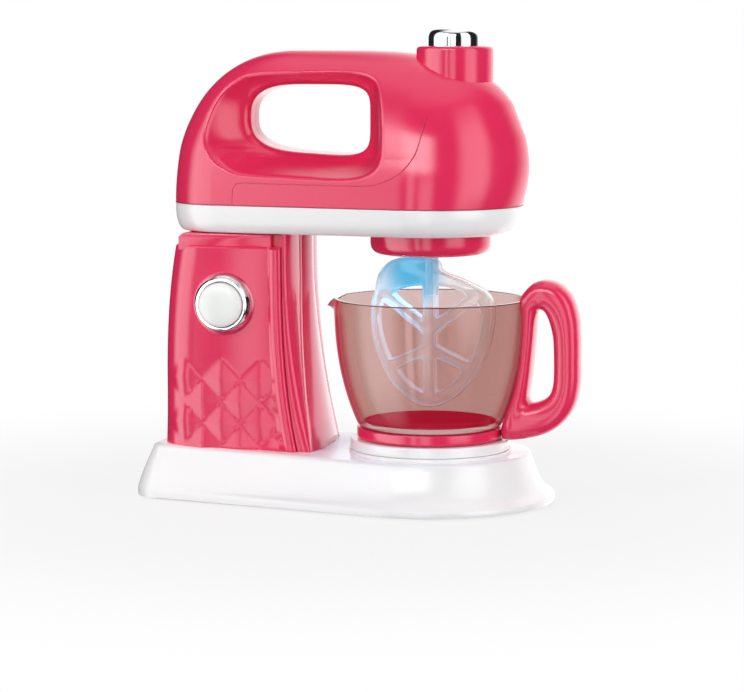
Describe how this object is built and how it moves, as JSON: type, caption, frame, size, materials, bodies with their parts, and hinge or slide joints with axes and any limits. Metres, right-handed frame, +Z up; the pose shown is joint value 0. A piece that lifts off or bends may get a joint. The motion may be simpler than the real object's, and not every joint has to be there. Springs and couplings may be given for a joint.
{
  "type": "toy stand mixer",
  "caption": "Toy stand mixer: flared base, column with push button, tilting head with grip hole and top button, spinning leaf beater, see-through bowl with spout and handle on a turning seat.",
  "frame": {"origin": "bottom centre of the whole object's box, on the surface that the feet stand on", "axes": "+Z up, +X from the column towards the bowl and its handle, the side with the power button faces -Y"},
  "size_m": [0.152, 0.085, 0.16],
  "materials": {
    "pink_plastic": "glossy moulded plastic",
    "white_plastic": "glossy moulded plastic",
    "foot_rubber": "matte soft rubber",
    "steel": "plain bright steel",
    "chrome": "bright chrome plating on plastic",
    "milky_plastic": "milky satin plastic",
    "gear_plastic": "natural gear plastic",
    "clear_plastic": "clear glossy moulded plastic",
    "smoke_plastic": "see-through smoke pink plastic",
    "board_green": "circuit board",
    "dark_plastic": "dark satin plastic",
    "cell_wrap": "plain printed wrap",
    "wire_red": "wire sleeve",
    "lamp_blue": "clear blue lamp lens"
  },
  "bodies": {
    "base": {"base_shell": "white_plastic", "base_plate": "white_plastic", "battery_door": "white_plastic", "battery_door_screw": "steel", "base_screw_1": "steel", "base_screw_2": "steel", "base_screw_3": "steel", "base_screw_4": "steel", "foot_1": "foot_rubber", "foot_2": "foot_rubber", "foot_3": "foot_rubber", "foot_4": "foot_rubber", "battery_cell_1": "cell_wrap", "battery_cell_2": "cell_wrap", "contact_rear": "steel", "contact_front": "steel", "column_rear_shell": "pink_plastic", "column_front_shell": "pink_plastic", "column_screw_1": "steel", "column_screw_2": "steel", "hinge_pin": "steel", "button_ring": "chrome", "power_button_spring": "steel", "switch_board": "board_green", "power_switch": "dark_plastic", "column_wire": "wire_red"},
    "turntable": {"bowl_seat": "white_plastic", "seat_retainer": "white_plastic", "seat_screw": "steel"},
    "bowl": {"bowl_shell": "smoke_plastic", "bowl_foot": "pink_plastic", "bowl_handle": "pink_plastic"},
    "head": {"head_near_shell": "pink_plastic", "head_far_shell": "pink_plastic", "head_tray": "white_plastic", "head_screw_1": "steel", "head_screw_2": "steel", "head_screw_3": "steel", "head_screw_4": "steel", "button_collar": "pink_plastic", "top_button_spring": "steel", "top_switch_board": "board_green", "gearbox_plate": "white_plastic", "idler_pin": "steel", "motor": "steel", "shaft_bushing": "milky_plastic", "head_wire": "wire_red", "drive_hub": "pink_plastic", "lamp": "lamp_blue"},
    "beater": {"beater": "clear_plastic", "drive_shaft": "steel", "drive_gear": "gear_plastic"},
    "idler": {"idler_gear": "gear_plastic"},
    "motor_rotor": {"motor_gear": "gear_plastic"},
    "top_button": {"top_button": "chrome"},
    "power_button": {"power_button": "milky_plastic"}
  },
  "joints": [
    {"name": "head_tilt", "type": "hinge", "parent": "base", "child": "head", "pos_m": [-0.057, 0, 0.0885], "axis": [0, -1, 0], "range_deg": [0, 35]},
    {"name": "beater_spin", "type": "hinge", "parent": "head", "child": "beater", "pos_m": [0.024, 0, 0.0885], "axis": [0, 0, 1], "continuous": true},
    {"name": "idler_spin", "type": "hinge", "parent": "head", "child": "idler", "pos_m": [0.01136, 0.0073, 0.098], "axis": [0, 0, 1], "continuous": true},
    {"name": "motor_spin", "type": "hinge", "parent": "head", "child": "motor_rotor", "pos_m": [0.01866, -0.00534, 0.1], "axis": [0, 0, 1], "continuous": true},
    {"name": "top_button_press", "type": "slide", "parent": "head", "child": "top_button", "axis": [0, 0, -1], "range_m": [0, 0.002], "stiffness_N_per_m": 300, "springref_m": -0.001, "deforming": ["top_button_spring"]},
    {"name": "power_button_press", "type": "slide", "parent": "base", "child": "power_button", "axis": [0, 1, 0], "range_m": [0, 0.002], "stiffness_N_per_m": 300, "springref_m": -0.001, "deforming": ["power_button_spring"]},
    {"name": "bowl_turn", "type": "hinge", "parent": "base", "child": "turntable", "pos_m": [0.024, 0, 0.018], "axis": [0, 0, 1], "range_deg": [-90, 90]},
    {"name": "bowl_lift", "type": "slide", "parent": "turntable", "child": "bowl", "axis": [0, 0, 1], "range_m": [0, 0.0045]}
  ],
  "couplings": [
    {"joint": "idler_spin", "follows": "beater_spin", "ratio": -3},
    {"joint": "motor_spin", "follows": "beater_spin", "ratio": 9}
  ]
}
